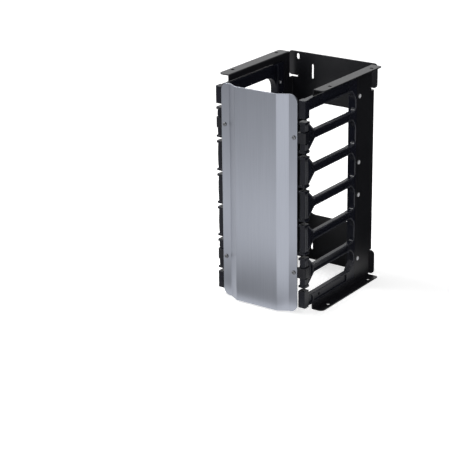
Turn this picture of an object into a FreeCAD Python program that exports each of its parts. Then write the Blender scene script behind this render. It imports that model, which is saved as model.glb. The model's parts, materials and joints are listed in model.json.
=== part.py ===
import FreeCAD, Part
import math
import os
import re
import Sketcher

doc = FreeCAD.newDocument("cable_channel")

# Driving sizes in millimetres. X runs across, Y to the back, Z up. The origin is in the middle
# of the four lower flange holes, level with the underside of the lower flanges. Each piece is
# drawn from the rear face of the chassis, midway across and at mid height.
SIZES = (
    ("height", 291, "underside of the lower flanges to the top of the upper ones"),
    ("overall_width", 157.5, "across the outer edges of the flanges"),
    ("flange_width", 15, "outer edge of a flange outside its web"),
    ("steel", 1.5, "sheet of the chassis"),
    ("bend_radius", 0.5, "inside radius of a fold in the steel"),
    ("plate_front", 147, "front edge of a web ahead of the back face"),
    ("plate_notch", 8.2, "rear edge of a web beside an ear, ahead of the back face"),
    ("strip_height", 8.5, "web left above and below its window"),
    ("window_rear", 45.7, "rear edge of that window ahead of the back face"),
    ("window_radius", 1, "rear corners of that window"),
    ("flange_front_corner", 6, "outer front corner of a flange"),
    ("flange_rear_corner", 2.5, "outer rear corner of a flange"),
    ("flange_hole", 5.2, "diameter of the flange holes"),
    ("flange_hole_edge", 5.9, "flange hole centre inside the outer edge"),
    ("flange_hole_front", 124, "front flange hole ahead of the back face"),
    ("flange_hole_rear", 24, "rear flange hole ahead of the back face"),
    ("back_height", 64, "back left above and below its window"),
    ("back_margin", 0.2, "end of the back inside the overall height"),
    ("ear_reach", 4.2, "ear outside the web's outer face"),
    ("ear_height", 32.8, "height of an ear"),
    ("ear_radius", 5, "corners of an ear"),
    ("relief_gap", 2.2, "cut between an ear and the folded corner"),
    ("relief_length", 8.5, "that cut, inward from the web's inner face"),
    ("back_window_inset", 15.8, "side of the back's window inside the web's outer face"),
    ("back_window_radius", 4, "corners of the back's window"),
    ("mount_hole_width", 4.5, "mounting slot, across"),
    ("mount_hole_height", 7.8, "mounting slot, up and down"),
    ("mount_hole_inset", 10.5, "mounting slot centre inside the web's outer face"),
    ("mount_hole_drop", 6.6, "mounting slot centre below the back's top edge"),
    ("strap_slot_width", 3.2, "strap slot, across"),
    ("strap_slot_height", 20, "strap slot, up and down"),
    ("strap_slot_inset", 33.4, "strap slot centre inside the web's outer face"),
    ("strap_slot_drop", 24.4, "strap slot centre inside the back's end"),
    ("pitch", 44.45, "finger pitch, one rack unit"),
    ("comb_front", 170, "front of the finger heads ahead of the back face"),
    ("comb_inset", 2, "middle plane of the fingers inside the web's outer face"),
    ("comb_wall", 3, "wall of the comb moulding"),
    ("comb_end", 9, "end of a comb inside the overall height"),
    ("spine_front", 49, "front of the comb's spine ahead of the back face"),
    ("spine_width", 11.2, "width of the spine that the cables bear on"),
    ("spine_edge", 1.2, "rounded edges of the spine"),
    ("spine_lug", 19, "depth of the lug that lies on the web"),
    ("spine_rib", 13, "ribs behind the spine, front to back"),
    ("arm_thickness", 6, "finger arm, across"),
    ("arm_height", 11, "finger arm, up and down"),
    ("arm_edge", 1.2, "rounded edges of an arm"),
    ("arm_groove", 1.5, "depth of the grooves in an arm's sides"),
    ("arm_rim", 2.4, "rims left above and below a groove"),
    ("root_radius", 5, "round above an arm where it runs into the spine"),
    ("root_round", 13, "round below an arm where it runs into the spine"),
    ("end_arm_height", 14.5, "half finger arm, up and down"),
    ("end_round", 17, "round where the top half arm runs into the spine"),
    ("end_gusset", 10.5, "gusset where the bottom half arm runs into the spine"),
    ("end_band", 8, "width of that round and gusset, across"),
    ("head_gap", 4.2, "gap between two finger heads"),
    ("head_depth", 9.5, "finger head, front to back"),
    ("head_width", 7.6, "finger head, across"),
    ("head_edge", 1.6, "rounded upright edges of a head"),
    ("head_setback", 0.8, "head behind the front of its lips"),
    ("lip_width", 9.5, "lip at each end of a head, across"),
    ("lip_height", 3, "lip at each end of a head, up and down"),
    ("lip_edge", 1.2, "rounded edges of a lip"),
    ("gusset_length", 24, "from the lips to where the gusset meets the arm"),
    ("gusset_height", 37, "gusset where it meets the head, up and down"),
    ("gusset_rim", 2.6, "rim left round the gusset's panel"),
    ("panel_shoulder", 6.8, "front corner of that panel inside the gusset's height"),
    ("bar_radius", 3, "hinge bar in the middle of a head, radius"),
    ("bar_setback", 6.4, "hinge bar's axis behind the front of the lips"),
    ("bar_clearance", 7.2, "free room behind the bar's axis for a clip to turn"),
    ("comb_hole", 3.6, "hole through a half arm"),
    ("comb_hole_setback", 38.8, "that hole behind the front of the lips"),
    ("comb_pocket", 13, "pocket behind a half head, front to back"),
    ("comb_pocket_round", 4.5, "rear corners of that pocket"),
    ("rivet_setback", 38.5, "rivets ahead of the back face"),
    ("rivet_diameter", 3.2, "rivet shank"),
    ("rivet_head", 6.4, "rivet head, diameter"),
    ("rivet_rise", 1.7, "rivet head, height"),
    ("rivet_dome", 1.5, "rounded edge of a rivet head"),
    ("rivet_tail", 4.6, "rivet tail, diameter"),
    ("rivet_tail_length", 3, "rivet tail behind the lug"),
    ("fit_gap", 0.05, "radial gap round a rivet or screw shank"),
    ("cover_height", 286, "cover, up and down"),
    ("cover_inset", 5.35, "side edge of the cover inside the middle plane of the fingers"),
    ("cover_sheet", 1.5, "aluminium of the cover"),
    ("cover_gap", 1, "cover flange ahead of the finger lips"),
    ("cover_flange", 12, "flat flange along each side of the cover"),
    ("cover_bevel", 13.25, "bevel, measured across"),
    ("cover_rise", 8, "middle of the cover ahead of its flanges"),
    ("cover_fold", 1.5, "inside radius of a fold in the cover"),
    ("cover_corner", 10, "corners of the cover"),
    ("cover_screw_edge", 4.6, "cover screws inside the cover's side edge"),
    ("clip_height", 13.7, "clip, up and down"),
    ("clip_play", 0.45, "gap above and below a clip in its head"),
    ("clip_gap", 0.4, "gap between a clip and the hinge bar"),
    ("clip_wall", 2, "wall of a clip's hook"),
    ("clip_leg", 3, "legs of the hook past the bar's axis"),
    ("clip_shoulder", 3.2, "outer shoulder of a clip"),
    ("clip_tip", 0.8, "rounded ends of the hook's legs"),
    ("clip_base", 10.5, "base of a clip under the cover, inward from the cover's edge"),
    ("clip_boss", 7, "screw boss of a clip, diameter"),
    ("clip_boss_length", 6, "screw boss of a clip, behind its base"),
    ("screw_diameter", 3, "cover screw shank"),
    ("screw_head", 5.6, "cover screw head, diameter"),
    ("screw_rise", 1.3, "cover screw head, height"),
    ("screw_dome", 1, "rounded edge of a cover screw head"),
    ("screw_length", 8, "cover screw shank under the head"),
    ("screw_point", 0.8, "flat at the tip of a cover screw, diameter"),
    ("screw_spare", 0.5, "clip hole past the tip of a cover screw"),
    ("screw_cross", 3.2, "cross recess, tip to tip"),
    ("screw_cross_width", 0.8, "cross recess, width of an arm"),
    ("screw_cross_depth", 0.8, "cross recess, depth"),
    ("overlap", 1, "one feature let into another, or a cut past the far face"),
)

sheet = doc.addObject("Spreadsheet::Sheet", "Sizes")
for row, (name, size, note) in enumerate(SIZES, start=1):
    sheet.set(f"A{row}", note)
    sheet.set(f"B{row}", str(size))
    sheet.setAlias(f"B{row}", name)
doc.recompute()

NAMES = re.compile(r"\b(" + "|".join(name for name, size, note in SIZES) + r")\b")

# Places that several pieces share, each worked out from the driving sizes.
FOLD = "(steel + bend_radius)"
WEB_OUTSIDE = "(overall_width / 2 - flange_width)"
WEB_INSIDE = "(overall_width / 2 - flange_width - steel)"
FLANGE_EDGE = "(overall_width / 2)"
BACK_TOP = "(height / 2 - back_margin)"
ARM_PLANE = f"({WEB_OUTSIDE} - comb_inset)"
COMB_END = "(height / 2 - comb_end)"
HEAD_REAR = "(-comb_front + head_depth)"
HEAD_HALF = "((pitch - head_gap) / 2)"
CLIP_SLOT = "(clip_height / 2 + clip_play)"
BAR_Y = "(-comb_front + bar_setback)"
LOWEST_FINGER = "(-2 * pitch)"
RIVET_BORE = "(rivet_diameter / 2 + fit_gap)"
COVER_REAR = "(-comb_front - cover_gap)"
COVER_FRONT = "(-comb_front - cover_gap - cover_sheet)"
COVER_EDGE = f"({ARM_PLANE} - cover_inset)"
SCREW_X = f"({COVER_EDGE} - cover_screw_edge)"
CLIP_PLACE = "(2 * pitch)"


def bound(text):
    """Turn a size formula into an expression on the sheet."""
    return NAMES.sub(r"Sizes.\1", text)


def number(text):
    """Present value of a size formula."""
    return float(sheet.evalExpression(bound(text)))


def new_body(label):
    """Body drawn from the rear face at mid height."""
    body = doc.addObject("PartDesign::Body", label)
    body.Label = label
    body.setExpression("Placement.Base.y", bound("(flange_hole_front + flange_hole_rear) / 2"))
    body.setExpression("Placement.Base.z", bound("height / 2"))
    return body


def origin_feature(body, role):
    return next(item for item in body.Origin.OriginFeatures if item.Role == role)


def new_sketch(body, name, role, offset="0"):
    """Sketch on an origin plane of the body, moved along that plane's normal."""
    sketch = body.newObject("Sketcher::SketchObject", name)
    sketch.AttachmentSupport = [(origin_feature(body, role), "")]
    sketch.MapMode = "FlatFace"
    sketch.setExpression("AttachmentOffset.Base.z", bound(offset))
    return sketch


def datum(sketch, constraint, text):
    """Add a dimension and bind it to its formula."""
    index = sketch.addConstraint(constraint)
    sketch.setExpression(f"Constraints[{index}]", bound(text))


def pin(sketch, element, end, across, up):
    """Dimension one point from the sketch origin, or lay it on an axis."""
    for kind, axis, text in (("DistanceX", -2, across), ("DistanceY", -1, up)):
        if text == "0":
            sketch.addConstraint(Sketcher.Constraint("PointOnObject", element, end, axis))
        else:
            rule = Sketcher.Constraint(kind, -1, 1, element, end, number(text))
            datum(sketch, rule, text)


def outline(sketch, corners):
    """Closed outline through corners given as (across, up) or (across, up, radius).

    Returns its straight sides in order, the last one closing the outline.
    """
    count = len(corners)
    points = [FreeCAD.Vector(number(c[0]), number(c[1]), 0) for c in corners]
    starts, ends, arcs = [], [], []
    for i, corner in enumerate(corners):
        point = points[i]
        before = (points[i - 1] - point).normalize()
        after = (points[(i + 1) % count] - point).normalize()
        if len(corner) == 2:
            starts.append(point)
            ends.append(point)
            arcs.append(None)
            continue
        radius = number(corner[2])
        half = before.getAngle(after) / 2
        reach = radius / math.tan(half)
        middle = (before + after).normalize()
        centre = point + middle * (radius / math.sin(half))
        starts.append(point + before * reach)
        ends.append(point + after * reach)
        turns_left = before.cross(after).z < 0
        first, last = (starts[i], ends[i]) if turns_left else (ends[i], starts[i])
        angles = [math.atan2(p.y - centre.y, p.x - centre.x) for p in (first, last)]
        circle = Part.Circle(centre, FreeCAD.Vector(0, 0, 1), radius)
        arc = sketch.addGeometry(Part.ArcOfCircle(circle, *angles), False)
        arcs.append((arc, 1 if turns_left else 2))
    sides = []
    for i in range(count):
        line = Part.LineSegment(ends[i], starts[(i + 1) % count])
        sides.append(sketch.addGeometry(line, False))
    for i, corner in enumerate(corners):
        arriving, leaving = sides[i - 1], sides[i]
        if arcs[i] is None:
            sketch.addConstraint(Sketcher.Constraint("Coincident", arriving, 2, leaving, 1))
            pin(sketch, leaving, 1, corner[0], corner[1])
            continue
        arc, entry = arcs[i]
        sketch.addConstraint(Sketcher.Constraint("Tangent", arriving, 2, arc, entry))
        sketch.addConstraint(Sketcher.Constraint("Tangent", arc, 3 - entry, leaving, 1))
        datum(sketch, Sketcher.Constraint("Radius", arc, number(corner[2])), corner[2])
        vertex = sketch.addGeometry(Part.Point(points[i]), True)
        sketch.addConstraint(Sketcher.Constraint("PointOnObject", vertex, 1, arriving))
        sketch.addConstraint(Sketcher.Constraint("PointOnObject", vertex, 1, leaving))
        pin(sketch, vertex, 1, corner[0], corner[1])
    return sides


def rectangle(sketch, left, right, bottom, top):
    outline(sketch, [(left, bottom), (right, bottom), (right, top), (left, top)])


def circle(sketch, across, up, radius):
    centre = FreeCAD.Vector(number(across), number(up), 0)
    ring = Part.Circle(centre, FreeCAD.Vector(0, 0, 1), number(radius))
    element = sketch.addGeometry(ring, False)
    datum(sketch, Sketcher.Constraint("Radius", element, number(radius)), radius)
    pin(sketch, element, 3, across, up)


def upright_slot(sketch, across, up, width, tall):
    """Slot with round ends, standing upright."""
    radius = number(width) / 2
    reach = f"({tall} - {width}) / 2"
    centres = [FreeCAD.Vector(number(across), number(f"{up} {sign} {reach}"), 0) for sign in "+-"]
    edge = FreeCAD.Vector(radius, 0, 0)
    rings = [Part.Circle(centre, FreeCAD.Vector(0, 0, 1), radius) for centre in centres]
    top = sketch.addGeometry(Part.ArcOfCircle(rings[0], 0, math.pi), False)
    foot = sketch.addGeometry(Part.ArcOfCircle(rings[1], math.pi, 2 * math.pi), False)
    left = sketch.addGeometry(Part.LineSegment(centres[0] - edge, centres[1] - edge), False)
    right = sketch.addGeometry(Part.LineSegment(centres[1] + edge, centres[0] + edge), False)
    for first, second in ((top, left), (left, foot), (foot, right), (right, top)):
        sketch.addConstraint(Sketcher.Constraint("Tangent", first, 2, second, 1))
    sketch.addConstraint(Sketcher.Constraint("Equal", top, foot))
    datum(sketch, Sketcher.Constraint("Radius", top, radius), f"{width} / 2")
    pin(sketch, top, 3, across, f"{up} + {reach}")
    pin(sketch, foot, 3, across, f"{up} - {reach}")


def pad(body, name, sketch, length, both_ways=False, reverse=False):
    feature = body.newObject("PartDesign::Pad", name)
    feature.Profile = sketch
    feature.setExpression("Length", bound(length))
    feature.Midplane = both_ways
    feature.Reversed = reverse
    doc.recompute()
    return feature


def pocket(body, name, sketch, depth=None, both_ways=False, reverse=False):
    """Cut to a depth, or right through where no depth is given."""
    volume = body.Shape.Volume
    feature = body.newObject("PartDesign::Pocket", name)
    feature.Profile = sketch
    feature.Midplane = both_ways
    feature.Reversed = reverse
    if depth is None:
        feature.Type = "ThroughAll"
    else:
        feature.setExpression("Length", bound(depth))
    doc.recompute()
    if body.Shape.Volume > volume - 0.01:
        raise RuntimeError(f"{body.Label}: {name} cuts nothing")
    return feature


def revolve(body, name, sketch, side):
    """Turn a profile once round one of its own straight sides."""
    line = sketch.Geometry[side]
    axis = sketch.addGeometry(Part.LineSegment(line.StartPoint, line.EndPoint), True)
    for end in (1, 2):
        sketch.addConstraint(Sketcher.Constraint("Coincident", axis, end, side, end))
    feature = body.newObject("PartDesign::Revolution", name)
    feature.Profile = sketch
    feature.ReferenceAxis = (sketch, ["Axis0"])
    doc.recompute()
    return feature


def repeat_up(body, name, features, length, count):
    """Repeat features upward, the last one the given length above the first."""
    pattern = body.newObject("PartDesign::LinearPattern", name)
    pattern.Originals = features
    pattern.Direction = (origin_feature(body, "Z_Axis"), [""])
    pattern.setExpression("Length", bound(length))
    pattern.Occurrences = count
    body.Tip = pattern
    doc.recompute()
    return pattern


def repeat_all(body, name, features, steps):
    """Apply several repeats in turn to the same features."""
    pattern = body.newObject("PartDesign::MultiTransform", name)
    pattern.Originals = features
    pattern.Transformations = steps
    body.Tip = pattern
    doc.recompute()
    return pattern


def upright_edges(feature, across, back):
    """Names of the upright edges that stand at a place in plan."""
    spot = FreeCAD.Vector(number(across), number(back), 0)
    names = []
    for index, edge in enumerate(feature.Shape.Edges, start=1):
        ends = [vertex.Point for vertex in edge.Vertexes]
        flat = [FreeCAD.Vector(p.x, p.y, 0) for p in ends]
        if len(ends) == 2 and all(p.distanceToPoint(spot) < 0.01 for p in flat):
            names.append(f"Edge{index}")
    return names


def level_edges(feature, across, up):
    """Names of the edges that run front to back at a distance across and up, either side."""
    names = []
    for index, edge in enumerate(feature.Shape.Edges, start=1):
        ends = [vertex.Point for vertex in edge.Vertexes]
        gaps = [abs(abs(p.x) - number(across)) + abs(abs(p.z) - number(up)) for p in ends]
        if len(ends) == 2 and max(gaps) < 0.01 and abs(ends[0].z - ends[1].z) < 0.01:
            names.append(f"Edge{index}")
    return names


def fillet(body, name, base, edges, radius):
    feature = body.newObject("PartDesign::Fillet", name)
    feature.Base = (base, edges)
    feature.setExpression("Radius", bound(radius))
    doc.recompute()
    return feature


def mirrored(label, source, across=True):
    """The same piece of the other hand, or turned over about mid height."""
    piece = doc.addObject("Part::Mirroring", label)
    piece.Label = label
    piece.Source = source
    piece.Normal = (1, 0, 0) if across else (0, 0, 1)
    if not across:
        piece.setExpression("Base.z", bound("height / 2"))
    doc.recompute()
    return piece


# Folded chassis, one sheet: the channel between the relief cuts, the ends of the back with their
# ears, then the ends of the webs with the flanges folded out.
chassis = new_body("folded_chassis")
ear = f"({WEB_OUTSIDE} + ear_reach)"
ear_foot = f"({BACK_TOP} - ear_height)"
fold_end = f"({BACK_TOP} - ear_height - relief_gap)"
relief_end = f"({WEB_INSIDE} - relief_length)"
strip_edge = "(height / 2 - strip_height)"

channel = new_sketch(chassis, "channel_section", "XY_Plane")
outline(channel, [(f"-{WEB_OUTSIDE}", "-plate_front"),
                  (f"-{WEB_OUTSIDE}", "0", FOLD),
                  (WEB_OUTSIDE, "0", FOLD),
                  (WEB_OUTSIDE, "-plate_front"),
                  (WEB_INSIDE, "-plate_front"),
                  (WEB_INSIDE, "-steel", "bend_radius"),
                  (f"-{WEB_INSIDE}", "-steel", "bend_radius"),
                  (f"-{WEB_INSIDE}", "-plate_front")])
pad(chassis, "channel", channel, f"2 * {fold_end}", both_ways=True)

back_ends = new_sketch(chassis, "back_end_outlines", "XZ_Plane")
for end in ("", "-"):
    outline(back_ends, [(f"-{ear}", f"{end}{BACK_TOP}", "ear_radius"),
                        (f"-{ear}", f"{end}{ear_foot}", "ear_radius"),
                        (f"-{relief_end}", f"{end}{ear_foot}"),
                        (f"-{relief_end}", f"{end}({fold_end} - overlap)"),
                        (relief_end, f"{end}({fold_end} - overlap)"),
                        (relief_end, f"{end}{ear_foot}"),
                        (ear, f"{end}{ear_foot}", "ear_radius"),
                        (ear, f"{end}{BACK_TOP}", "ear_radius")])
pad(chassis, "back_ends", back_ends, "steel")

flanges = new_sketch(chassis, "flange_sections", "XZ_Plane", "plate_notch")
for side in ("", "-"):
    for end in ("", "-"):
        outline(flanges, [(f"{side}{WEB_INSIDE}", f"{end}({fold_end} - overlap)"),
                          (f"{side}{WEB_INSIDE}", f"{end}height / 2", FOLD),
                          (f"{side}{FLANGE_EDGE}", f"{end}height / 2"),
                          (f"{side}{FLANGE_EDGE}", f"{end}(height / 2 - steel)"),
                          (f"{side}{WEB_OUTSIDE}", f"{end}(height / 2 - steel)", "bend_radius"),
                          (f"{side}{WEB_OUTSIDE}", f"{end}({fold_end} - overlap)")])
last = pad(chassis, "flanges", flanges, "plate_front - plate_notch")
for name, place, radius in (("front_corners", "-plate_front", "flange_front_corner"),
                            ("rear_corners", "-plate_notch", "flange_rear_corner")):
    corners = upright_edges(last, FLANGE_EDGE, place) + upright_edges(last, f"-{FLANGE_EDGE}", place)
    last = fillet(chassis, name, last, corners, radius)

window = new_sketch(chassis, "side_window_outline", "YZ_Plane")
outline(window, [("-plate_front - overlap", f"-{strip_edge}"),
                 ("-window_rear", f"-{strip_edge}", "window_radius"),
                 ("-window_rear", strip_edge, "window_radius"),
                 ("-plate_front - overlap", strip_edge)])
pocket(chassis, "side_windows", window, both_ways=True)

window = new_sketch(chassis, "back_window_outline", "XZ_Plane")
window_side = f"({WEB_OUTSIDE} - back_window_inset)"
window_end = f"({BACK_TOP} - back_height)"
outline(window, [(f"-{window_side}", f"-{window_end}", "back_window_radius"),
                 (window_side, f"-{window_end}", "back_window_radius"),
                 (window_side, window_end, "back_window_radius"),
                 (f"-{window_side}", window_end, "back_window_radius")])
pocket(chassis, "back_window", window, "steel", reverse=True)

cuts = new_sketch(chassis, "slot_outlines", "XZ_Plane")
upright_slot(cuts, f"-({WEB_OUTSIDE} - mount_hole_inset)", f"({BACK_TOP} - mount_hole_drop)",
             "mount_hole_width", "mount_hole_height")
for end in ("", "-"):
    upright_slot(cuts, f"-({WEB_OUTSIDE} - strap_slot_inset)", f"{end}({BACK_TOP} - strap_slot_drop)",
                 "strap_slot_width", "strap_slot_height")
pocket(chassis, "slots", cuts, "steel", reverse=True)

drilling = new_sketch(chassis, "flange_drilling", "XY_Plane")
for side in ("", "-"):
    for place in ("-flange_hole_front", "-flange_hole_rear"):
        circle(drilling, f"{side}({FLANGE_EDGE} - flange_hole_edge)", place, "flange_hole / 2")
pocket(chassis, "flange_holes", drilling, both_ways=True)

drilling = new_sketch(chassis, "rivet_drilling", "YZ_Plane")
for steps in ("-2.5", "-0.5", "0.5", "2.5"):
    circle(drilling, "-rivet_setback", f"{steps} * pitch", RIVET_BORE)
pocket(chassis, "rivet_holes", drilling, both_ways=True)

# Right finger comb: spine and lug first, then the half fingers, then the five whole fingers.
comb = new_body("right_finger_comb")
arm_outside = f"({ARM_PLANE} + arm_thickness / 2)"
spine_rear = "(-spine_front + comb_wall)"

lug = new_sketch(comb, "lug_outline", "YZ_Plane", WEB_INSIDE)
rectangle(lug, spine_rear, f"{spine_rear} + spine_lug", f"-{COMB_END}", COMB_END)
pad(comb, "lug", lug, "comb_wall", reverse=True)

spine = new_sketch(comb, "spine_plan", "XY_Plane")
outline(spine, [(f"{arm_outside} - spine_width", "-spine_front", "spine_edge"),
                (arm_outside, "-spine_front", "spine_edge"),
                (arm_outside, spine_rear, "spine_edge"),
                (f"{arm_outside} - spine_width", spine_rear, "spine_edge")])
pad(comb, "spine", spine, f"2 * {COMB_END}", both_ways=True)

half_arms = new_sketch(comb, "half_arm_outlines", "YZ_Plane", ARM_PLANE)
half_edge = f"({COMB_END} - end_arm_height)"
outline(half_arms, [(HEAD_REAR, half_edge),
                    ("-spine_front", half_edge, "end_round"),
                    ("-spine_front", f"{half_edge} - end_round - overlap"),
                    (spine_rear, f"{half_edge} - end_round - overlap"),
                    (spine_rear, COMB_END),
                    (HEAD_REAR, COMB_END)])
outline(half_arms, [(HEAD_REAR, f"-{COMB_END}"),
                    (spine_rear, f"-{COMB_END}"),
                    (spine_rear, f"-{half_edge} + end_gusset"),
                    ("-spine_front", f"-{half_edge} + end_gusset"),
                    ("-spine_front - end_gusset", f"-{half_edge}"),
                    (HEAD_REAR, f"-{half_edge}")])
pad(comb, "half_arms", half_arms, "arm_thickness", both_ways=True)

bands = new_sketch(comb, "end_band_outlines", "YZ_Plane", arm_outside)
outline(bands, [("-spine_front - end_round - overlap", half_edge),
                ("-spine_front", half_edge, "end_round"),
                ("-spine_front", f"{half_edge} - end_round - overlap"),
                (spine_rear, f"{half_edge} - end_round - overlap"),
                (spine_rear, f"{half_edge} + comb_wall"),
                ("-spine_front - end_round - overlap", f"{half_edge} + comb_wall")])
outline(bands, [("-spine_front - end_gusset", f"-{half_edge}"),
                ("-spine_front", f"-{half_edge} + end_gusset"),
                (spine_rear, f"-{half_edge} + end_gusset"),
                (spine_rear, f"-{half_edge} - comb_wall"),
                ("-spine_front - end_gusset", f"-{half_edge} - comb_wall")])
pad(comb, "end_bands", bands, "end_band", reverse=True)

half_heads = new_sketch(comb, "half_head_outlines", "YZ_Plane", ARM_PLANE)
half_tip = "(2.5 * pitch + head_gap / 2)"
outline(half_heads, [("-comb_front", half_tip, "lip_edge"),
                     (HEAD_REAR, half_tip),
                     (HEAD_REAR, COMB_END),
                     ("-comb_front", COMB_END, "lip_edge")])
outline(half_heads, [("-comb_front", f"-{COMB_END}", "lip_edge"),
                     (HEAD_REAR, f"-{COMB_END}"),
                     (HEAD_REAR, f"-{half_tip}"),
                     ("-comb_front", f"-{half_tip}", "lip_edge")])
pad(comb, "half_heads", half_heads, "lip_width", both_ways=True)

half_middle = f"({COMB_END} - end_arm_height / 2)"
half_panel = "(end_arm_height / 2 - arm_rim)"
panels = new_sketch(comb, "half_arm_panels", "YZ_Plane", arm_outside)
for side in ("", "-"):
    middle = f"{side}{half_middle}"
    outline(panels, [(f"{HEAD_REAR} + arm_rim", f"{middle} - {half_panel}", "arm_edge"),
                     (f"{HEAD_REAR} + comb_pocket", f"{middle} - {half_panel}", "comb_pocket_round"),
                     (f"{HEAD_REAR} + comb_pocket", f"{middle} + {half_panel}", "comb_pocket_round"),
                     (f"{HEAD_REAR} + arm_rim", f"{middle} + {half_panel}", "arm_edge")])
    outline(panels, [(f"{HEAD_REAR} + comb_pocket + arm_rim", f"{middle} - {half_panel}", "arm_edge"),
                     ("-spine_front - end_round", f"{middle} - {half_panel}", "arm_edge"),
                     ("-spine_front - end_round", f"{middle} + {half_panel}", "arm_edge"),
                     (f"{HEAD_REAR} + comb_pocket + arm_rim", f"{middle} + {half_panel}", "arm_edge")])
pocket(comb, "half_arm_pockets", panels, "arm_groove")

drilling = new_sketch(comb, "half_arm_drilling", "YZ_Plane", arm_outside)
for side in ("", "-"):
    circle(drilling, "-comb_front + comb_hole_setback", f"{side}{half_middle}", "comb_hole / 2")
pocket(comb, "half_arm_holes", drilling, "arm_thickness + overlap")

# The lowest whole finger: arm of grooved section, round into the spine, gusset and head.
arm = new_sketch(comb, "arm_section", "XZ_Plane", "spine_front")
half_thick = "arm_thickness / 2"
half_high = "arm_height / 2"
groove = f"({half_high} - arm_rim)"
core = f"({half_thick} - arm_groove)"
outline(arm, [(f"{ARM_PLANE} - {half_thick}", f"{LOWEST_FINGER} - {half_high}", "arm_edge"),
              (f"{ARM_PLANE} + {half_thick}", f"{LOWEST_FINGER} - {half_high}", "arm_edge"),
              (f"{ARM_PLANE} + {half_thick}", f"{LOWEST_FINGER} - {groove}"),
              (f"{ARM_PLANE} + {core}", f"{LOWEST_FINGER} - {groove} + arm_groove / 2"),
              (f"{ARM_PLANE} + {core}", f"{LOWEST_FINGER} + {groove} - arm_groove / 2"),
              (f"{ARM_PLANE} + {half_thick}", f"{LOWEST_FINGER} + {groove}"),
              (f"{ARM_PLANE} + {half_thick}", f"{LOWEST_FINGER} + {half_high}", "arm_edge"),
              (f"{ARM_PLANE} - {half_thick}", f"{LOWEST_FINGER} + {half_high}", "arm_edge"),
              (f"{ARM_PLANE} - {half_thick}", f"{LOWEST_FINGER} + {groove}"),
              (f"{ARM_PLANE} - {core}", f"{LOWEST_FINGER} + {groove} - arm_groove / 2"),
              (f"{ARM_PLANE} - {core}", f"{LOWEST_FINGER} - {groove} + arm_groove / 2"),
              (f"{ARM_PLANE} - {half_thick}", f"{LOWEST_FINGER} - {groove}")])
finger = [pad(comb, "arm", arm, "comb_front - gusset_length - spine_front + overlap")]

root = new_sketch(comb, "arm_root_outline", "YZ_Plane", ARM_PLANE)
above = f"({half_high} + root_radius + overlap)"
below = f"({half_high} + root_round + overlap)"
outline(root, [("-spine_front - root_round - overlap", f"{LOWEST_FINGER} - {half_high}"),
               ("-spine_front", f"{LOWEST_FINGER} - {half_high}", "root_round"),
               ("-spine_front", f"{LOWEST_FINGER} - {below}"),
               (spine_rear, f"{LOWEST_FINGER} - {below}"),
               (spine_rear, f"{LOWEST_FINGER} + {above}"),
               ("-spine_front", f"{LOWEST_FINGER} + {above}"),
               ("-spine_front", f"{LOWEST_FINGER} + {half_high}", "root_radius"),
               ("-spine_front - root_round - overlap", f"{LOWEST_FINGER} + {half_high}")])
finger.append(pad(comb, "arm_root", root, "arm_thickness", both_ways=True))

gusset = new_sketch(comb, "gusset_outline", "YZ_Plane", ARM_PLANE)
gusset_rear = "(-comb_front + gusset_length)"
gusset_front = f"({HEAD_REAR} - overlap)"
outline(gusset, [(gusset_front, f"{LOWEST_FINGER} - gusset_height / 2"),
                 (HEAD_REAR, f"{LOWEST_FINGER} - gusset_height / 2"),
                 (gusset_rear, f"{LOWEST_FINGER} - {half_high}"),
                 (gusset_rear, f"{LOWEST_FINGER} + {half_high}"),
                 (HEAD_REAR, f"{LOWEST_FINGER} + gusset_height / 2"),
                 (gusset_front, f"{LOWEST_FINGER} + gusset_height / 2")])
finger.append(pad(comb, "gusset", gusset, "arm_thickness", both_ways=True))

panel_front = f"({BAR_Y} + bar_clearance + gusset_rim)"
panel_rear = f"({gusset_rear} - gusset_rim)"
panel_front_half = "(gusset_height / 2 - panel_shoulder)"
panel_rear_half = f"({half_high} - arm_rim)"
for name, place, turn in (("outer_panel", arm_outside, False),
                          ("inner_panel", f"{ARM_PLANE} - {half_thick}", True)):
    panel = new_sketch(comb, name + "_outline", "YZ_Plane", place)
    outline(panel, [(panel_front, f"{LOWEST_FINGER} - {panel_front_half}", "lip_edge"),
                    (panel_rear, f"{LOWEST_FINGER} - {panel_rear_half}", "lip_edge"),
                    (panel_rear, f"{LOWEST_FINGER} + {panel_rear_half}", "lip_edge"),
                    (panel_front, f"{LOWEST_FINGER} + {panel_front_half}", "lip_edge")])
    finger.append(pocket(comb, name, panel, "arm_groove", reverse=turn))

head = new_sketch(comb, "head_plan", "XY_Plane", f"{LOWEST_FINGER} - {HEAD_HALF}")
head_front = "(-comb_front + head_setback)"
outline(head, [(f"{ARM_PLANE} - head_width / 2", head_front, "head_edge"),
               (f"{ARM_PLANE} + head_width / 2", head_front, "head_edge"),
               (f"{ARM_PLANE} + head_width / 2", HEAD_REAR, "head_edge"),
               (f"{ARM_PLANE} - head_width / 2", HEAD_REAR, "head_edge")])
finger.append(pad(comb, "head", head, "pitch - head_gap"))

lips = new_sketch(comb, "lip_outlines", "YZ_Plane", ARM_PLANE)
for side in ("-", ""):
    tip = f"{LOWEST_FINGER} + ({side}{HEAD_HALF})"
    root_of_lip = f"{LOWEST_FINGER} + ({side}({HEAD_HALF} - lip_height))"
    outline(lips, [("-comb_front", tip, "lip_edge"),
                   (f"{HEAD_REAR} + lip_edge", tip, "lip_edge"),
                   (f"{HEAD_REAR} + lip_edge", root_of_lip),
                   ("-comb_front", root_of_lip)])
finger.append(pad(comb, "lips", lips, "lip_width", both_ways=True))

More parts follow.
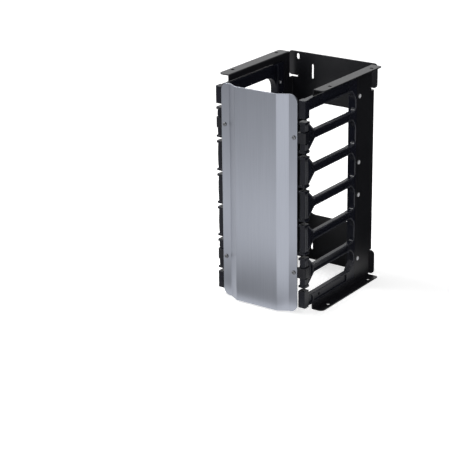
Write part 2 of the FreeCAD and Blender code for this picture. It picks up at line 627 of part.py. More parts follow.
rib = new_sketch(comb, "rib_plan", "XY_Plane", f"{LOWEST_FINGER} - comb_wall / 2")
lug_face = f"({WEB_INSIDE} - comb_wall)"
outline(rib, [(f"{lug_face} + overlap", f"{spine_rear} - overlap"),
              (f"{arm_outside} - spine_width + overlap", f"{spine_rear} - overlap"),
              (f"{arm_outside} - spine_width + overlap", spine_rear),
              (lug_face, f"{spine_rear} + spine_rib"),
              (f"{lug_face} + overlap", f"{spine_rear} + spine_rib")])
finger.append(pad(comb, "rib", rib, "comb_wall"))

repeat_up(comb, "fingers", finger, "4 * pitch", 5)

# The lowest and the highest whole finger have a hinge bar across a slot in the head.
slot = new_sketch(comb, "clip_slot_outline", "YZ_Plane", ARM_PLANE)
rectangle(slot, "-comb_front - overlap", f"{BAR_Y} + bar_clearance",
          f"{LOWEST_FINGER} - {CLIP_SLOT}", f"{LOWEST_FINGER} + {CLIP_SLOT}")
seat = [pocket(comb, "clip_slot", slot, "lip_width + overlap", both_ways=True)]
bar = new_sketch(comb, "hinge_bar_plan", "XY_Plane", f"{LOWEST_FINGER} - {CLIP_SLOT} - overlap")
circle(bar, ARM_PLANE, BAR_Y, "bar_radius")
seat.append(pad(comb, "hinge_bar", bar, f"2 * ({CLIP_SLOT} + overlap)"))
repeat_up(comb, "clip_seats", seat, "4 * pitch", 2)

drilling = new_sketch(comb, "lug_drilling", "YZ_Plane", WEB_INSIDE)
for steps in ("-2.5", "-0.5", "0.5", "2.5"):
    circle(drilling, "-rivet_setback", f"{steps} * pitch", RIVET_BORE)
pocket(comb, "rivet_holes", drilling, "comb_wall + overlap")

# Right comb rivets: domed heads on the web, set tails on the lug.
rivets = new_body("right_comb_rivets")
rivets.AllowCompound = True
profile = new_sketch(rivets, "rivet_profile", "XY_Plane", "0.5 * pitch")
tail_face = f"({WEB_INSIDE} - comb_wall)"
rivet_axis = "-rivet_setback"
sides = outline(profile, [
    (f"{tail_face} - rivet_tail_length", rivet_axis),
    (f"{tail_face} - rivet_tail_length", f"{rivet_axis} + rivet_diameter / 2"),
    (f"{tail_face} - rivet_tail_length / 2", f"{rivet_axis} + rivet_tail / 2"),
    (tail_face, f"{rivet_axis} + rivet_tail / 2"),
    (tail_face, f"{rivet_axis} + rivet_diameter / 2"),
    (WEB_OUTSIDE, f"{rivet_axis} + rivet_diameter / 2"),
    (WEB_OUTSIDE, f"{rivet_axis} + rivet_head / 2"),
    (f"{WEB_OUTSIDE} + rivet_rise", f"{rivet_axis} + rivet_head / 2", "rivet_dome"),
    (f"{WEB_OUTSIDE} + rivet_rise", rivet_axis)])
rivet = revolve(rivets, "rivet", profile, sides[-1])
second = rivets.newObject("PartDesign::LinearPattern", "second_rivet")
second.Direction = (origin_feature(rivets, "Z_Axis"), [""])
second.setExpression("Length", bound("2 * pitch"))
second.Occurrences = 2
lower_pair = rivets.newObject("PartDesign::Mirrored", "lower_pair")
lower_pair.MirrorPlane = (origin_feature(rivets, "XY_Plane"), [""])
repeat_all(rivets, "rivet_set", [rivet], [second, lower_pair])

# Cover: folded hat section, rounded corners, four screw holes.
cover = new_body("front_cover")
section = new_sketch(cover, "cover_section", "XY_Plane", "-cover_height / 2")
edge = COVER_EDGE
outer_fold = f"({edge} - cover_flange)"
inner_fold = f"({outer_fold} - cover_bevel)"
slope = "sqrt(cover_bevel ^ 2 + cover_rise ^ 2)"
shift = f"(cover_sheet * ({slope} - cover_bevel) / cover_rise)"
face = f"({COVER_FRONT} - cover_rise)"
rear = f"({face} + cover_sheet)"
outline(section, [(f"-{edge}", COVER_FRONT),
                  (f"-{outer_fold}", COVER_FRONT, "cover_fold"),
                  (f"-{inner_fold}", face, "cover_fold + cover_sheet"),
                  (inner_fold, face, "cover_fold + cover_sheet"),
                  (outer_fold, COVER_FRONT, "cover_fold"),
                  (edge, COVER_FRONT),
                  (edge, COVER_REAR),
                  (f"{outer_fold} - {shift}", COVER_REAR, "cover_fold + cover_sheet"),
                  (f"{inner_fold} - {shift}", rear, "cover_fold"),
                  (f"-{inner_fold} + {shift}", rear, "cover_fold"),
                  (f"-{outer_fold} + {shift}", COVER_REAR, "cover_fold + cover_sheet"),
                  (f"-{edge}", COVER_REAR)])
folded = pad(cover, "folded_sheet", section, "cover_height")
corner_edges = level_edges(folded, edge, "cover_height / 2")
fillet(cover, "corners", folded, corner_edges, "cover_corner")

drilling = new_sketch(cover, "screw_drilling", "XZ_Plane", f"-{COVER_REAR}")
for side in ("", "-"):
    for end in ("", "-"):
        circle(drilling, f"{side}{SCREW_X}", f"{end}{CLIP_PLACE}",
               "screw_diameter / 2 + fit_gap")
pocket(cover, "screw_holes", drilling, "cover_sheet + overlap", reverse=True)

# Upper right clip: base under the cover flange and an open hook round the hinge bar.
clip = new_body("upper_right_clip")
plan = new_sketch(clip, "clip_plan", "XY_Plane", f"{CLIP_PLACE} - clip_height / 2")
hook_inside = "(bar_radius + clip_gap)"
hook_outside = "(bar_radius + clip_gap + clip_wall)"
hook_round = "(bar_radius + clip_gap - fit_gap)"
base_rear = f"({BAR_Y} - {hook_outside})"
leg_end = f"({BAR_Y} + clip_leg)"
base_end = f"({edge} - clip_base)"
outline(plan, [(base_end, COVER_REAR),
               (f"{ARM_PLANE} + {hook_outside}", COVER_REAR, "clip_shoulder"),
               (f"{ARM_PLANE} + {hook_outside}", leg_end, "clip_tip"),
               (f"{ARM_PLANE} + {hook_inside}", leg_end, "clip_tip"),
               (f"{ARM_PLANE} + {hook_inside}", f"{BAR_Y} - {hook_inside}", hook_round),
               (f"{ARM_PLANE} - {hook_inside}", f"{BAR_Y} - {hook_inside}", hook_round),
               (f"{ARM_PLANE} - {hook_inside}", leg_end, "clip_tip"),
               (f"{ARM_PLANE} - {hook_outside}", leg_end, "clip_tip"),
               (f"{ARM_PLANE} - {hook_outside}", base_rear, "clip_wall"),
               (base_end, base_rear)])
pad(clip, "hook", plan, "clip_height")
boss = new_sketch(clip, "boss_outline", "XZ_Plane", f"-{COVER_REAR}")
circle(boss, SCREW_X, CLIP_PLACE, "clip_boss / 2")
pad(clip, "boss", boss, f"{base_rear} - {COVER_REAR} + clip_boss_length", reverse=True)
drilling = new_sketch(clip, "boss_drilling", "XZ_Plane", f"-{COVER_REAR}")
circle(drilling, SCREW_X, CLIP_PLACE, "screw_diameter / 2 + fit_gap")
pocket(clip, "boss_hole", drilling, "screw_length - cover_sheet + screw_spare")

# Cover screws: low round heads with a cross recess.
screws = new_body("cover_screws")
screws.AllowCompound = True
profile = new_sketch(screws, "screw_profile", "XY_Plane", CLIP_PLACE)
screw_tip = f"({COVER_FRONT} + screw_length)"
head_top = f"({COVER_FRONT} - screw_rise)"
sides = outline(profile, [
    (SCREW_X, head_top),
    (f"{SCREW_X} + screw_head / 2", head_top, "screw_dome"),
    (f"{SCREW_X} + screw_head / 2", COVER_FRONT),
    (f"{SCREW_X} + screw_diameter / 2", COVER_FRONT),
    (f"{SCREW_X} + screw_diameter / 2", f"{screw_tip} - screw_diameter / 2"),
    (f"{SCREW_X} + screw_point / 2", screw_tip),
    (SCREW_X, screw_tip)])
screw = revolve(screws, "screw", profile, sides[-1])
cross = new_sketch(screws, "cross_outline", "XZ_Plane", f"-{head_top}")
long_half = "screw_cross / 2"
thin_half = "screw_cross_width / 2"
steps = ((long_half, thin_half), (thin_half, thin_half), (thin_half, long_half))
quarters = (("+", "+", steps), ("-", "+", steps[::-1]), ("-", "-", steps), ("+", "-", steps[::-1]))
outline(cross, [(f"{SCREW_X} {sx} {x}", f"{CLIP_PLACE} {sz} {z}")
                for sx, sz, row in quarters for x, z in row])
recess = pocket(screws, "cross_recess", cross, "screw_cross_depth")
lower_screw = screws.newObject("PartDesign::Mirrored", "lower_screw")
lower_screw.MirrorPlane = (origin_feature(screws, "XY_Plane"), [""])
left_screws = screws.newObject("PartDesign::Mirrored", "left_screws")
left_screws.MirrorPlane = (origin_feature(screws, "YZ_Plane"), [""])
repeat_all(screws, "screw_set", [screw, recess], [lower_screw, left_screws])

# Pieces of the other hand, and pieces turned over about mid height.
upper_left_clip = mirrored("upper_left_clip", clip)
pieces = [chassis,
          comb, mirrored("left_finger_comb", comb),
          rivets, mirrored("left_comb_rivets", rivets),
          cover, screws, clip, upper_left_clip,
          mirrored("lower_right_clip", clip, across=False),
          mirrored("lower_left_clip", upper_left_clip, across=False)]

for item in doc.Objects:
    if {"Invalid", "Error"} & set(item.State):
        raise RuntimeError(f"{item.Label} did not build")
os.makedirs("parts", exist_ok=True)
for piece in pieces:
    shape = piece.Shape
    if shape.isNull() or not shape.isValid() or not shape.Solids:
        raise RuntimeError(f"{piece.Label} is not a sound solid")
    shape.exportStep(f"parts/{piece.Label}.step")
    box = shape.BoundBox
    print(f"{piece.Label}: {len(shape.Solids)} solid, {shape.Volume:.0f} mm3, "
          f"X {box.XMin:.1f} to {box.XMax:.1f}, Y {box.YMin:.1f} to {box.YMax:.1f}, "
          f"Z {box.ZMin:.1f} to {box.ZMax:.1f}")
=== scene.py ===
import json
import math

import bmesh
import bpy
from mathutils import Matrix, Vector
from mathutils.geometry import tessellate_polygon


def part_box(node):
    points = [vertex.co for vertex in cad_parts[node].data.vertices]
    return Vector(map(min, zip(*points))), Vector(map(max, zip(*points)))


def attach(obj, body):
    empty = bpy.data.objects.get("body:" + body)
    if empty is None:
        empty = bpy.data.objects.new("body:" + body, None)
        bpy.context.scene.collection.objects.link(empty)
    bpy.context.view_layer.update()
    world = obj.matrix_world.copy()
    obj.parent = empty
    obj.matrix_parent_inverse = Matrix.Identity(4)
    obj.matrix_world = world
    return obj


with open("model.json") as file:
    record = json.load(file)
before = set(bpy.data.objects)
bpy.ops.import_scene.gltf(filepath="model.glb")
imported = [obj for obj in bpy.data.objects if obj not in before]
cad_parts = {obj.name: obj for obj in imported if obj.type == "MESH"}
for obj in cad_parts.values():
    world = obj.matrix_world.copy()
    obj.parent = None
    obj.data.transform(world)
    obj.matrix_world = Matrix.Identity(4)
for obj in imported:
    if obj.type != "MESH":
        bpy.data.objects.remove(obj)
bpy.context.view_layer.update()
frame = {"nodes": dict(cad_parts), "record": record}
scene = bpy.context.scene
scene.view_settings.view_transform = "Standard"

MM = 0.001

# A Mix node has sockets of the same name for numbers, vectors and colours. These are the colour ones.
MIX_FIRST = 6
MIX_SECOND = 7
MIX_RESULT = 2


class Value:
    """A shader socket that takes part in sums."""

    def __init__(self, finish, socket):
        self.finish = finish
        self.socket = socket

    def maths(self, operation, first, second):
        return self.finish.node("ShaderNodeMath", {"operation": operation}, {0: first, 1: second})

    def __add__(self, other):
        return self.maths("ADD", self, other)

    def __radd__(self, other):
        return self.maths("ADD", other, self)

    def __sub__(self, other):
        return self.maths("SUBTRACT", self, other)

    def __rsub__(self, other):
        return self.maths("SUBTRACT", other, self)

    def __mul__(self, other):
        return self.maths("MULTIPLY", self, other)

    def __rmul__(self, other):
        return self.maths("MULTIPLY", other, self)

    def __neg__(self):
        return 0.0 - self

    def rising(self, low, high):
        """0 below low, 1 above high and a smooth step in between."""
        return self.finish.node("ShaderNodeMapRange", {"interpolation_type": "SMOOTHSTEP"},
                                {"Value": self, "From Min": low, "From Max": high})

    def falling(self, low, high):
        """1 below low, 0 above high and a smooth step in between."""
        return 1.0 - self.rising(low, high)


class Finish:
    """Node tree of one finish, or of the studio's surround."""

    def __init__(self, holder):
        holder.use_nodes = True
        self.holder = holder
        self.tree = holder.node_tree
        self.tree.nodes.clear()

    def node(self, kind, settings=None, sockets=None, output=0):
        """Adds a node: its settings first, then the values or links of its sockets."""
        made = self.tree.nodes.new(kind)
        for key, value in (settings or {}).items():
            setattr(made, key, value)
        for key, value in (sockets or {}).items():
            target = made.inputs[key]
            if isinstance(value, Value):
                self.tree.links.new(value.socket, target)
            else:
                target.default_value = value
        return Value(self, made.outputs[output] if len(made.outputs) else None)

    def place(self):
        """Position on the object at rest, in metres."""
        return self.node("ShaderNodeTexCoord", output="Object")

    def parts(self, vector, axes):
        """The coordinates of a vector along the axes named."""
        return [self.node("ShaderNodeSeparateXYZ", None, {"Vector": vector}, output=axis) for axis in axes]

    def ray(self, kind):
        """1 for one kind of ray and 0 for the others."""
        return self.node("ShaderNodeLightPath", output=f"Is {kind} Ray")

    def stretched(self, scale):
        """The same position, scaled differently along each axis."""
        return self.node("ShaderNodeMapping", {"vector_type": "POINT"},
                         {"Vector": self.place(), "Scale": scale})

    def noise(self, scale, detail=2.0, roughness=0.5, vector=None):
        return self.node("ShaderNodeTexNoise", None,
                         {"Vector": vector or self.place(), "Scale": scale, "Detail": detail,
                          "Roughness": roughness})

    def blend(self, factor, first, second):
        """A colour between two others."""
        return self.node("ShaderNodeMix", {"data_type": "RGBA"},
                         {"Factor": factor, MIX_FIRST: first, MIX_SECOND: second}, output=MIX_RESULT)

    def mixed(self, factor, first, second):
        """A shader between two others."""
        return self.node("ShaderNodeMixShader", None, {"Fac": factor, 1: first, 2: second})

    def rounded(self, radius):
        """Normal of the surface with its edges eased."""
        return self.node("ShaderNodeBevel", {"samples": 6}, {"Radius": radius})

    def edge(self, soft, start=0.01, full=0.25):
        """1 well inside an eased edge and 0 on the flat."""
        true = self.node("ShaderNodeNewGeometry", output="True Normal")
        along = self.node("ShaderNodeVectorMath", {"operation": "DOT_PRODUCT"},
                          {0: soft, 1: true}, output="Value")
        return (1.0 - along).rising(start, full)

    def bump(self, height, distance, strength, normal):
        return self.node("ShaderNodeBump", None,
                         {"Height": height, "Distance": distance, "Strength": strength,
                          "Normal": normal})

    def surface(self, **sockets):
        """Ends the tree in one shader, with its sockets named in words joined by underscores."""
        named = {key.replace("_", " "): value for key, value in sockets.items()}
        shader = self.node("ShaderNodeBsdfPrincipled", None, named)
        self.node("ShaderNodeOutputMaterial", None, {"Surface": shader})
        return self.holder


def new_finish(name):
    return Finish(bpy.data.materials.new(name))


def colour(red, green, blue):
    return (red, green, blue, 1.0)


def powder_coat():
    """Satin black powder coat on the folded steel: fine peel, faint cloud, painted glints as tiny light dots,
    and a painted highlight on the eased edges.
    """
    dark = colour(0.0062, 0.0063, 0.0086)
    light = colour(0.0102, 0.0103, 0.0134)
    glint_speck = colour(0.03, 0.03, 0.036)
    coat_edge_highlight = colour(0.045, 0.046, 0.054)
    coat = new_finish("satin_black_powder_coat")
    soft = coat.rounded(0.5 * MM)
    edge = coat.edge(soft)
    cloud = coat.noise(scale=28.0, detail=3.0)
    peel = coat.noise(scale=1500.0, roughness=0.6)
    glint_fleck = coat.noise(scale=5200.0, detail=1.0).rising(0.62, 0.74)
    base = coat.blend(cloud, dark, light)
    # Painted glints: tiny dots lightened at random.
    base = coat.blend(0.25 * glint_fleck, base, glint_speck)
    # Painted highlight: the eased edges are lightened in colour.
    base = coat.blend(0.4 * edge, base, coat_edge_highlight)
    rough = 0.27 + 0.08 * cloud + 0.08 * peel
    grain = coat.bump(peel, distance=0.06 * MM, strength=0.35, normal=soft)
    return coat.surface(Base_Color=base, Roughness=rough, Specular_IOR_Level=0.5, Normal=grain)


def moulded_plastic(name, dark, light, roughness, specular):
    """Moulded black plastic: fine spark texture, faint flow marks, and smoother edges that carry a painted
    highlight.
    """
    moulding_edge_highlight = colour(0.05, 0.053, 0.062)
    moulding = new_finish(name)
    soft = moulding.rounded(0.45 * MM)
    edge = moulding.edge(soft)
    flow = moulding.noise(scale=14.0, detail=4.0, roughness=0.6, vector=moulding.stretched((1.0, 0.5, 2.2)))
    spark = moulding.noise(scale=2600.0, roughness=0.7)
    base = moulding.blend(flow, dark, light)
    # Painted highlight: the eased edges are lightened in colour.
    base = moulding.blend(0.4 * edge, base, moulding_edge_highlight)
    rough = roughness + 0.1 * flow + 0.08 * spark - 0.06 * edge
    grain = moulding.bump(spark, distance=0.04 * MM, strength=0.3, normal=soft)
    return moulding.surface(Base_Color=base, Roughness=rough, Specular_IOR_Level=specular, Normal=grain)


def brushed_aluminium():
    """Brushed and anodised aluminium: lines up and down, a few deeper strokes, and a painted highlight on the
    eased edges.
    """
    dark = colour(0.37, 0.392, 0.45)
    light = colour(0.5, 0.525, 0.595)
    metal_edge_highlight = colour(0.78, 0.81, 0.87)
    metal = new_finish("brushed_aluminium")
    soft = metal.rounded(0.4 * MM)
    edge = metal.edge(soft)
    lines = metal.noise(scale=1.0, detail=3.0, roughness=0.65, vector=metal.stretched((6400.0, 6400.0, 30.0)))
    strokes = metal.noise(scale=1.0, vector=metal.stretched((2100.0, 2100.0, 10.0)))
    cloud = metal.noise(scale=9.0, vector=metal.stretched((1.0, 1.0, 0.6)))
    shade = 0.45 * lines + 0.3 * strokes + 0.25 * cloud
    base = metal.blend(shade.rising(0.15, 0.85), dark, light)
    # Painted highlight: the eased edges are lightened in colour.
    base = metal.blend(0.6 * edge, base, metal_edge_highlight)
    rough = 0.26 + 0.1 * lines + 0.05 * cloud
    grain = metal.bump(0.6 * lines + 0.4 * strokes, distance=0.03 * MM, strength=0.3, normal=soft)
    return metal.surface(Base_Color=base, Roughness=rough, Metallic=1.0, Anisotropic=0.6, Normal=grain)


def bright_metal(name, dark, light, roughness, metallic, axis):
    """Small bright set metal: smudges, faint marks, and painted shade where the head turns down to its foot.
    """
    shaded = colour(0.03, 0.03, 0.034)
    metal = new_finish(name)
    soft = metal.rounded(0.2 * MM)
    smudge = metal.noise(scale=420.0, detail=3.0, roughness=0.6)
    marks = metal.noise(scale=3800.0, detail=1.0)
    facing = metal.parts(metal.node("ShaderNodeTexCoord", output="Normal"), axis)[0]
    foot = (facing * facing).falling(0.25, 0.9)
    base = metal.blend(smudge, dark, light)
    # Painted shade: the head darkens where it turns down to its foot.
    base = metal.blend(0.85 * foot, base, shaded)
    rough = roughness + 0.16 * smudge + 0.06 * marks
    grain = metal.bump(smudge, distance=0.03 * MM, strength=0.25, normal=soft)
    return metal.surface(Base_Color=base, Roughness=rough, Metallic=metallic, Normal=grain)


FINISHES = {
    "black_steel": powder_coat(),
    "black_plastic": moulded_plastic("moulded_black_plastic", dark=colour(0.0052, 0.0058, 0.0102),
                                     light=colour(0.0092, 0.0102, 0.0172), roughness=0.16, specular=0.23),
    "clip_plastic": moulded_plastic("clip_black_plastic", dark=colour(0.0055, 0.006, 0.009),
                                    light=colour(0.0098, 0.0105, 0.0155), roughness=0.2, specular=0.3),
    "brushed_cover": brushed_aluminium(),
    "rivet_metal": bright_metal("bright_rivet", dark=colour(0.8, 0.81, 0.83), light=colour(0.93, 0.94, 0.95),
                                roughness=0.36, metallic=0.4, axis="X"),
    "screw_metal": bright_metal("plated_screw", dark=colour(0.2, 0.205, 0.22), light=colour(0.4, 0.41, 0.43),
                                roughness=0.24, metallic=1.0, axis="Y"),
}

# Lighter copy of the black plastic for the beads: its colour is a painted highlight, and it is smoother and
# shinier too.
POLISHED_HIGHLIT_RIM = moulded_plastic("polished_highlit_black_rim", dark=colour(0.014, 0.015, 0.02),
                               light=colour(0.028, 0.03, 0.04), roughness=0.1, specular=0.6)

for subpart in frame["record"]["subparts"]:
    for slot in frame["nodes"][subpart["node"]].material_slots:
        slot.material = FINISHES[subpart["material_slot"]]


# The combs, in metres. Fingers are counted up and down from the middle one, and half fingers end the comb.
COMB_LOW, COMB_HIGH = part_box("right_finger_comb")
MID_HEIGHT = (COMB_LOW[2] + COMB_HIGH[2]) / 2
COMB_FRONT = COMB_LOW[1]
COMB_HALF = (COMB_HIGH[2] - COMB_LOW[2]) / 2
LIP_FACE = COMB_HIGH[0]
PITCH = 44.45 * MM
HALF_FINGER = 3
CLIP_FINGER = 2
ARM_HALF = 5.5 * MM
ARM_FACE = LIP_FACE - 1.75 * MM
HALF_ARM = 14.5 * MM
SPINE_FRONT = COMB_FRONT + 121.0 * MM
GUSSET_REAR = COMB_FRONT + 24.0 * MM
GUSSET_HALF = 18.5 * MM
GUSSET_ROUND = 4.0 * MM
HEAD_REAR = COMB_FRONT + 9.5 * MM
HEAD_FACE = LIP_FACE - 0.95 * MM
ROUND_BELOW_ARM = 13.0 * MM
ROUND_ABOVE_ARM = 5.0 * MM
ROUND_TOP = 17.0 * MM
CORNER_CUT = 10.5 * MM
CORNER_ROUND = 2.0 * MM
CLIP_ROOM = 8.4 * MM

# Beads on the right comb: rims round its gaps and ridges on its heads.
OUTWARD = Vector((1.0, 0.0, 0.0))
RIM = 1.0 * MM
BEAD_SUNK = 0.3 * MM
BEAD_END = 0.35
TAPER_SHARE = 0.12
RIDGE = 0.8 * MM
RIDGE_HALF = 16.6 * MM
RIDGE_DEPTHS = (2.8 * MM, 5.0 * MM, 7.2 * MM)
RIDGE_BOW = 0.7 * MM

# The steel round the back's window. It is a little thinner than the sheet, which hides its outer edge.
SHEET = 1.5 * MM
MARGIN_SHEET = 1.3 * MM
MARGIN_HALF_WIDTH = 47.8 * MM
MARGIN_HALF_HEIGHT = 82.1 * MM
WINDOW_HALF_WIDTH = 40.0 * MM
WINDOW_HALF_HEIGHT = 79.6 * MM
WINDOW_ROUND = 16.0 * MM


def rounded_path(corners, steps=7):
    """Points along straight runs, with an arc at each corner that has a radius."""
    points = []
    for index, (*place, radius) in enumerate(corners):
        here = Vector(place)
        if not radius:
            points.append(here)
            continue
        before = (Vector(corners[index - 1][:2]) - here).normalized()
        after = (Vector(corners[index + 1][:2]) - here).normalized()
        half = before.angle(after) / 2
        centre = here + (before + after).normalized() * (radius / math.sin(half))
        start = here + before * (radius / math.tan(half)) - centre
        end = here + after * (radius / math.tan(half)) - centre
        sweep = start.angle_signed(end)
        for step in range(steps + 1):
            turn = Matrix.Rotation(-sweep * step / steps, 2)
            points.append(centre + turn @ start)
    return points


def bead(mesh, line, radius, around=10):
    """Round bead along a line of points, with smaller closed ends."""
    rings = []
    last = len(line) - 1
    for index, point in enumerate(line):
        ahead = (line[min(index + 1, last)] - line[max(index - 1, 0)]).normalized()
        across = ahead.cross(OUTWARD).normalized()
        out = across.cross(ahead)
        size = radius * (BEAD_END if index in (0, last) else 1.0)
        ring = []
        for step in range(around):
            angle = math.tau * step / around
            ring.append(mesh.verts.new(point + (out * math.cos(angle) + across * math.sin(angle)) * size))
        rings.append(ring)
    for first, second in zip(rings, rings[1:]):
        for step in range(around):
            follow = (step + 1) % around
            mesh.faces.new((first[step], first[follow], second[follow], second[step]))
    mesh.faces.new(rings[0][::-1])
    mesh.faces.new(rings[-1])


def tapered(points):
    """The same points with one more just inside each end, where the taper starts."""
    first = points[0].lerp(points[1], TAPER_SHARE)
    last = points[-1].lerp(points[-2], TAPER_SHARE)
    return [points[0], first, *points[1:-1], last, points[-1]]


def gap_outline(finger):
    """Edge of the gap above a finger, from head to head: each corner's depth, height and radius."""
    low = finger * PITCH
    high = (finger + 1) * PITCH
    spine = SPINE_FRONT + RIM
    under = high - ARM_HALF + RIM
    over = low + ARM_HALF - RIM
    upper = [(HEAD_REAR, high - GUSSET_HALF + RIM, 0),
             (GUSSET_REAR, under, GUSSET_ROUND),
             (spine, under, ROUND_BELOW_ARM + RIM)]
    lower = [(spine, over, ROUND_ABOVE_ARM + RIM),
             (GUSSET_REAR, over, GUSSET_ROUND),
             (HEAD_REAR, low + GUSSET_HALF - RIM, 0)]
    edge = COMB_HALF - HALF_ARM
    if finger + 1 == HALF_FINGER:
        upper = [(HEAD_REAR, edge + RIM, 0),
                 (spine, edge + RIM, ROUND_TOP + RIM)]
    if finger == -HALF_FINGER:
        lower = [(spine, CORNER_CUT - edge, CORNER_ROUND),
                 (SPINE_FRONT - CORNER_CUT, -edge - RIM, CORNER_ROUND),
                 (HEAD_REAR, -edge - RIM, 0)]
    return upper + lower


def ridge_spans(finger):
    """Upright stretches of a head that carry ridges: all of it, or what a clip leaves free."""
    if abs(finger) == CLIP_FINGER:
        return [(-RIDGE_HALF, -CLIP_ROOM), (CLIP_ROOM, RIDGE_HALF)]
    return [(-RIDGE_HALF, RIDGE_HALF)]


def ridge_line(finger, depth, low, high, steps=10):
    """Upright line on a head's outer face that swells in the middle of the head."""
    line = []
    for step in range(steps + 1):
        rise = low + (high - low) * step / steps
        swell = RIDGE_BOW * (1.0 - (rise / RIDGE_HALF) ** 2)
        height = MID_HEIGHT + finger * PITCH + rise
        line.append(Vector((HEAD_FACE - BEAD_SUNK + swell, COMB_FRONT + depth, height)))
    return line


def add_piece(name, mesh, finish):
    """Makes an object of a finished mesh, fixed to the frame."""
    bmesh.ops.recalc_face_normals(mesh, faces=mesh.faces)
    shape = bpy.data.meshes.new(name)
    mesh.to_mesh(shape)
    mesh.free()
    shape.materials.append(finish)
    piece = bpy.data.objects.new(name, shape)
    scene.collection.objects.link(piece)
    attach(piece, "frame")


def comb_beads(side, mirror):
    """Rims round the finger gaps and ridges on the heads of one comb."""
    rims = bmesh.new()
    for finger in range(-HALF_FINGER, HALF_FINGER):
        flat = rounded_path(gap_outline(finger))
        line = [Vector((ARM_FACE - BEAD_SUNK, depth, MID_HEIGHT + height)) for depth, height in flat]
        bead(rims, tapered(line), RIM)
    ridges = bmesh.new()
    for finger in range(1 - HALF_FINGER, HALF_FINGER):
        for depth in RIDGE_DEPTHS:
            for low, high in ridge_spans(finger):
                bead(ridges, tapered(ridge_line(finger, depth, low, high)), RIDGE)
    for name, mesh in ((f"{side}_gap_rims", rims), (f"{side}_head_ridges", ridges)):
        bmesh.ops.scale(mesh, vec=(mirror, 1.0, 1.0), verts=mesh.verts)
        for face in mesh.faces:
            face.smooth = True
        add_piece(name, mesh, POLISHED_HIGHLIT_RIM)


def window_margin():
    """Steel left round the back's window, inside the faces of its sheet, with large rounded corners."""
    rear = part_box("folded_chassis")[1][1] - (SHEET - MARGIN_SHEET) / 2
    right, top = WINDOW_HALF_WIDTH, WINDOW_HALF_HEIGHT
    inner = rounded_path([(0, -top, 0),
                          (right, -top, WINDOW_ROUND),
                          (right, top, WINDOW_ROUND),
                          (-right, top, WINDOW_ROUND),
                          (-right, -top, WINDOW_ROUND),
                          (0, -top, 0)])[:-1]
    wide, tall = MARGIN_HALF_WIDTH, MARGIN_HALF_HEIGHT
    outer = [(wide, -tall), (wide, tall), (-wide, tall), (-wide, -tall)]
    plate = bmesh.new()
    sides = []
    for depth in (rear, rear - MARGIN_SHEET):
        loops = [[Vector((x, depth, MID_HEIGHT + z)) for x, z in loop] for loop in (inner, outer)]
        rings = [[plate.verts.new(point) for point in loop] for loop in loops]
        points = rings[0] + rings[1]
        for triangle in tessellate_polygon(loops):
            plate.faces.new([points[index] for index in triangle])
        sides.append(rings)
    for far, near in zip(*sides):
        for index in range(len(far)):
            plate.faces.new((far[index - 1], far[index], near[index], near[index - 1]))
    add_piece("back_window_margin", plate, FINISHES["black_steel"])


comb_beads("right", 1.0)
comb_beads("left", -1.0)
window_margin()


# The studio, in metres. In reflections no place is darker than DARKEST, and 1 is white.
BLACK = colour(0.0, 0.0, 0.0)
WHITE = colour(1.0, 1.0, 1.0)
DARKEST = 0.02
LAMP_AIM = (0.0, -0.02, 0.15)


def floor_reflection(pale):
    """How light each place of the floor is in reflections: painted light and shade, with a pool of light
    ahead, painted shade before the cover's foot and a bright strip just in front of it.
    """
    place = pale.place()
    x, y = pale.parts(place, "XY")
    forward = -y
    away = pale.node("ShaderNodeVectorMath", {"operation": "LENGTH"}, {0: place}, output="Value")
    steps = 0.24 + 0.38 * x.rising(-0.74, -0.48) + 0.38 * x.rising(-0.2, 0.15)
    pool = 0.26 * forward.rising(0.16, 0.36) * forward.falling(0.4, 0.62)
    # Painted shade in front of the cover's foot.
    painted_foot_shade = 0.4 * x.rising(-0.16, -0.05) * x.falling(0.02, 0.1) * forward.falling(0.2, 0.33)
    ahead = forward.rising(-0.1, 0.25) * (1.0 - painted_foot_shade) * (steps + pool)
    beside = away.falling(0.08, 0.19) * forward.falling(0.0, 0.12) * (x * x).rising(0.0055, 0.009)
    far_right = 0.4 * x.rising(0.6, 1.0) * forward.rising(-0.4, -0.1)
    left = 0.62 * (-x).rising(0.05, 0.3) * forward.rising(-0.5, -0.2) * forward.falling(0.02, 0.2)
    # Painted light: a bright strip just in front of the cover's foot.
    painted_doorstep_light = 0.6 * forward.rising(0.08, 0.1) * forward.falling(0.112, 0.138)
    return DARKEST + ahead + beside + far_right + left + painted_doorstep_light


def studio_floor(reach, level):
    """Large pale floor: white in view with the shadow kept, and painted light and shade by place in
    reflections.
    """
    pale = new_finish("pale_floor")
    in_view = pale.ray("Camera") + pale.ray("Transmission")
    matt = pale.node("ShaderNodeBsdfPrincipled", None,
                     {"Base Color": colour(0.8, 0.8, 0.8), "Roughness": 1.0, "Specular IOR Level": 0.0,
                      "Emission Color": pale.blend(in_view, BLACK, colour(0.6, 0.6, 0.6)),
                      "Emission Strength": 1.0})
    dark = pale.node("ShaderNodeEmission", None, {"Color": BLACK, "Strength": 1.0})
    white = pale.node("ShaderNodeEmission", None, {"Color": WHITE, "Strength": 1.0})
    mirrored = pale.mixed(floor_reflection(pale), dark, white)
    seen = pale.mixed(pale.ray("Glossy"), matt, mirrored)
    pale.node("ShaderNodeOutputMaterial", None, {"Surface": seen})
    mesh = bpy.data.meshes.new("studio_floor")
    corners = [(-reach, -reach, level), (reach, -reach, level),
               (reach, reach, level), (-reach, reach, level)]
    mesh.from_pydata(corners, [], [(0, 1, 2, 3)])
    mesh.materials.append(pale.holder)
    floor = bpy.data.objects.new("studio_floor", mesh)
    scene.collection.objects.link(floor)


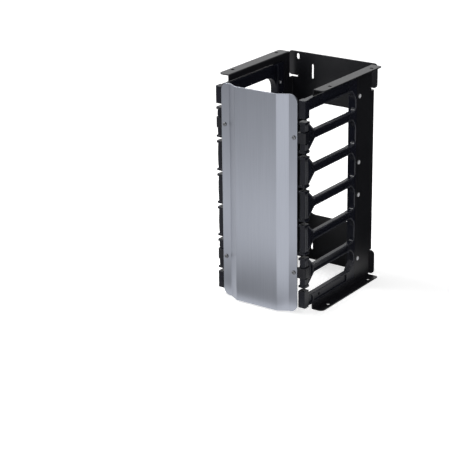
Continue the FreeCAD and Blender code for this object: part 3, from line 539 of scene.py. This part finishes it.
def studio_world(fill):
    """White surround in view, bright at the back and dimmer ahead in reflections, a soft level as light."""
    scene.world = bpy.data.worlds.new("studio")
    sky = Finish(scene.world)
    x, y = sky.parts(sky.node("ShaderNodeTexCoord", output="Generated"), "XY")
    rear_left = 0.8 * y - 0.6 * x
    behind = (1.0 - DARKEST) * rear_left.rising(0.5, 0.85)
    ahead = 0.45 * (-y).rising(0.1, 0.8)
    white = sky.node("ShaderNodeBackground", None, {"Color": WHITE, "Strength": 1.0})
    dark = sky.node("ShaderNodeBackground", None, {"Color": BLACK, "Strength": 1.0})
    level = sky.node("ShaderNodeBackground", None, {"Color": WHITE, "Strength": fill})
    mirrored = sky.mixed(DARKEST + behind + ahead, dark, white)
    light = sky.mixed(sky.ray("Glossy"), level, mirrored)
    seen = sky.mixed(sky.ray("Camera") + sky.ray("Transmission"), light, white)
    sky.node("ShaderNodeOutputWorld", None, {"Surface": seen})


def soft_box(name, place, width, height, watts):
    """Rectangular lamp that faces the object."""
    lamp = bpy.data.lights.new(name, "AREA")
    lamp.shape = "RECTANGLE"
    lamp.size = width
    lamp.size_y = height
    lamp.energy = watts
    holder = bpy.data.objects.new(name, lamp)
    holder.location = place
    holder.rotation_mode = "QUATERNION"
    holder.rotation_quaternion = (Vector(LAMP_AIM) - Vector(place)).to_track_quat("-Z", "Y")
    scene.collection.objects.link(holder)


def camera_at(azimuth, elevation, roll, distance, aim, focal_pixels, frame_pixels):
    """Camera that looks at a point from an azimuth and elevation in degrees."""
    turn, rise, tilt = (math.radians(angle) for angle in (azimuth, elevation, roll))
    back = Vector((math.sin(turn) * math.cos(rise), -math.cos(turn) * math.cos(rise), math.sin(rise)))
    right = (-back).cross(Vector((0.0, 0.0, 1.0))).normalized()
    up = right.cross(-back)
    across = right * math.cos(tilt) + up * math.sin(tilt)
    upward = up * math.cos(tilt) - right * math.sin(tilt)
    axes = Matrix((across, upward, back)).transposed()
    lens = bpy.data.cameras.new("photo_camera")
    lens.sensor_width = 36.0
    lens.lens = focal_pixels / frame_pixels * lens.sensor_width
    lens.clip_end = 50.0
    camera = bpy.data.objects.new("photo_camera", lens)
    camera.rotation_mode = "QUATERNION"
    camera.rotation_quaternion = axes.to_quaternion()
    camera.location = Vector(aim) + back * distance
    scene.collection.objects.link(camera)
    scene.camera = camera


studio_floor(reach=40.0, level=0.0)
studio_world(fill=0.5)
soft_box("upper_left_soft_box", place=(-0.75, -0.15, 1.2), width=0.36, height=0.7, watts=13.0)
soft_box("left_soft_box", place=(-1.3, -1.4, 0.9), width=0.9, height=1.2, watts=10.0)
soft_box("right_soft_box", place=(1.6, -0.7, 1.0), width=0.7, height=1.2, watts=3.0)
camera_at(azimuth=35.639, elevation=20.487, roll=-0.829, distance=2.032279,
          aim=(0.0, -0.173283, 0.133196), focal_pixels=1658.55, frame_pixels=450)
